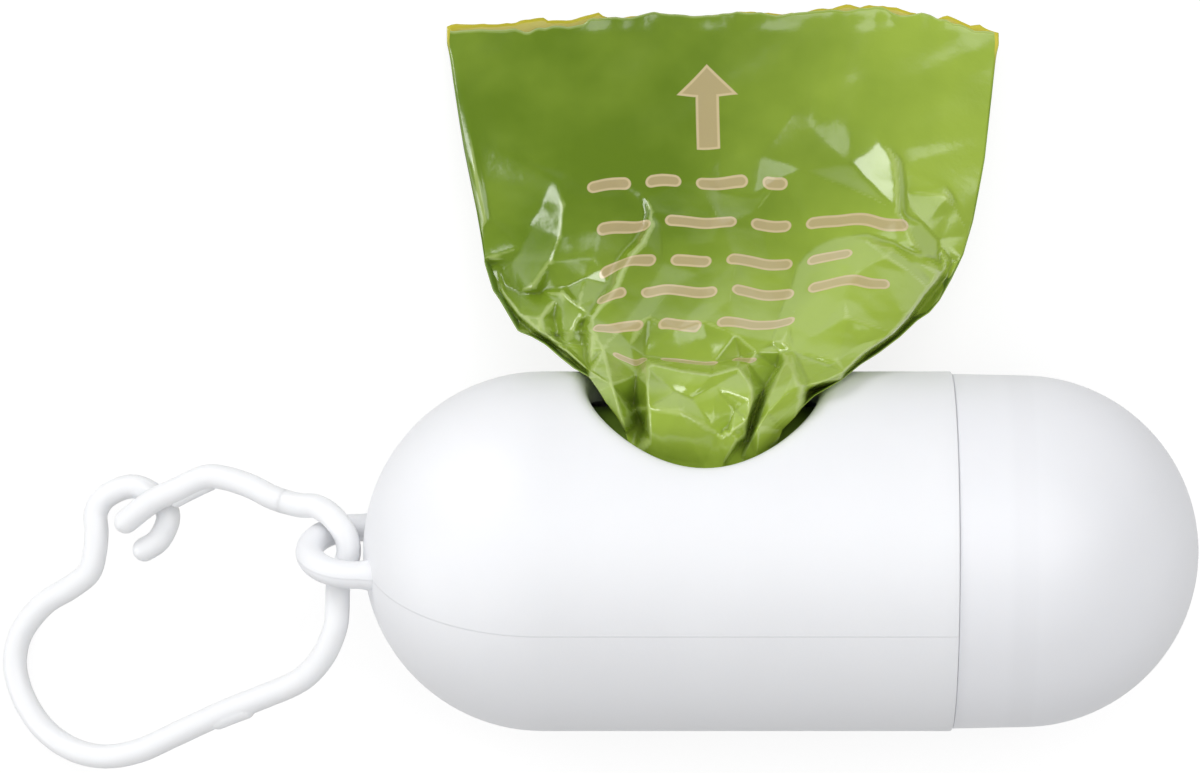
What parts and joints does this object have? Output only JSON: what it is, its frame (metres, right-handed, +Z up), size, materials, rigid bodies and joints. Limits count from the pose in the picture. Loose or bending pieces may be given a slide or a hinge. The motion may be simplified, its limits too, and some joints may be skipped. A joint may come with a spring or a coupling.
{
  "type": "pet waste bag dispenser",
  "caption": "Capsule-shaped pocket dispenser with a screw cap and a hook clip, holding a roll of pet waste bags whose first bag is drawn out through a round side hole.",
  "frame": {"origin": "middle of the footprint, on the surface that the capsule lies on", "axes": "+X along the capsule from the clip to the screw cap, +Y the way the bag is drawn out, +Z up"},
  "size_m": [0.1227, 0.0782, 0.0365],
  "materials": {
    "body_white": "fine matte moulded polypropylene",
    "cap_translucent": "satin, slightly translucent moulded polypropylene",
    "clip_white": "satin moulded polypropylene",
    "core_card": "spiral-wound grey-brown card",
    "film_green": "thin glossy blown film"
  },
  "bodies": {
    "shell": {"body_shell": "body_white"},
    "cap_carrier": {"cap_gate_pip": "cap_translucent"},
    "cap": {"end_cap": "cap_translucent"},
    "clip": {"leash_clip": "clip_white"},
    "clip_arm": {"clip_arm": "clip_white"},
    "roll": {"roll_core": "core_card", "bag_02": "film_green", "bag_03": "film_green", "bag_04": "film_green", "bag_05": "film_green", "bag_06": "film_green", "bag_07": "film_green", "bag_08": "film_green", "bag_09": "film_green", "bag_10": "film_green", "bag_11": "film_green", "bag_12": "film_green", "bag_13": "film_green", "bag_14": "film_green", "bag_15": "film_green", "leading_bag_wound": "film_green"},
    "bag": {"leading_bag": "film_green"}
  },
  "joints": [
    {"name": "clip_swing", "type": "hinge", "parent": "shell", "child": "clip", "pos_m": [-0.02487, -0.01638, 0.01843], "axis": [0, 1, 0], "range_deg": [-20, 110]},
    {"name": "clip_flex", "type": "hinge", "parent": "clip", "child": "clip_arm", "pos_m": [-0.03152, -0.01137, 0.01518], "axis": [-0.1103, 0.9924, -0.0537], "range_deg": [0, 14], "stiffness_Nm_per_rad": 0.2},
    {"name": "bag_pull", "type": "slide", "parent": "shell", "child": "bag", "axis": [0, 1, 0], "range_m": [0, 0.03]},
    {"name": "roll_spin", "type": "hinge", "parent": "shell", "child": "roll", "pos_m": [0.02115, -0.01638, 0.01823], "axis": [1, 0, 0], "range_deg": [-120, 0]},
    {"name": "cap_travel", "type": "slide", "parent": "shell", "child": "cap_carrier", "axis": [1, 0, 0], "range_m": [0, 0.0091]},
    {"name": "cap_turn", "type": "hinge", "parent": "cap_carrier", "child": "cap", "pos_m": [0.04353, -0.01638, 0.01823], "axis": [1, 0, 0], "range_deg": [0, 1080]}
  ],
  "couplings": [
    {"joint": "roll_spin", "follows": "bag_pull", "rad_per_m": -68.116},
    {"joint": "cap_travel", "follows": "cap_turn", "m_per_rad": 0.00047746}
  ]
}
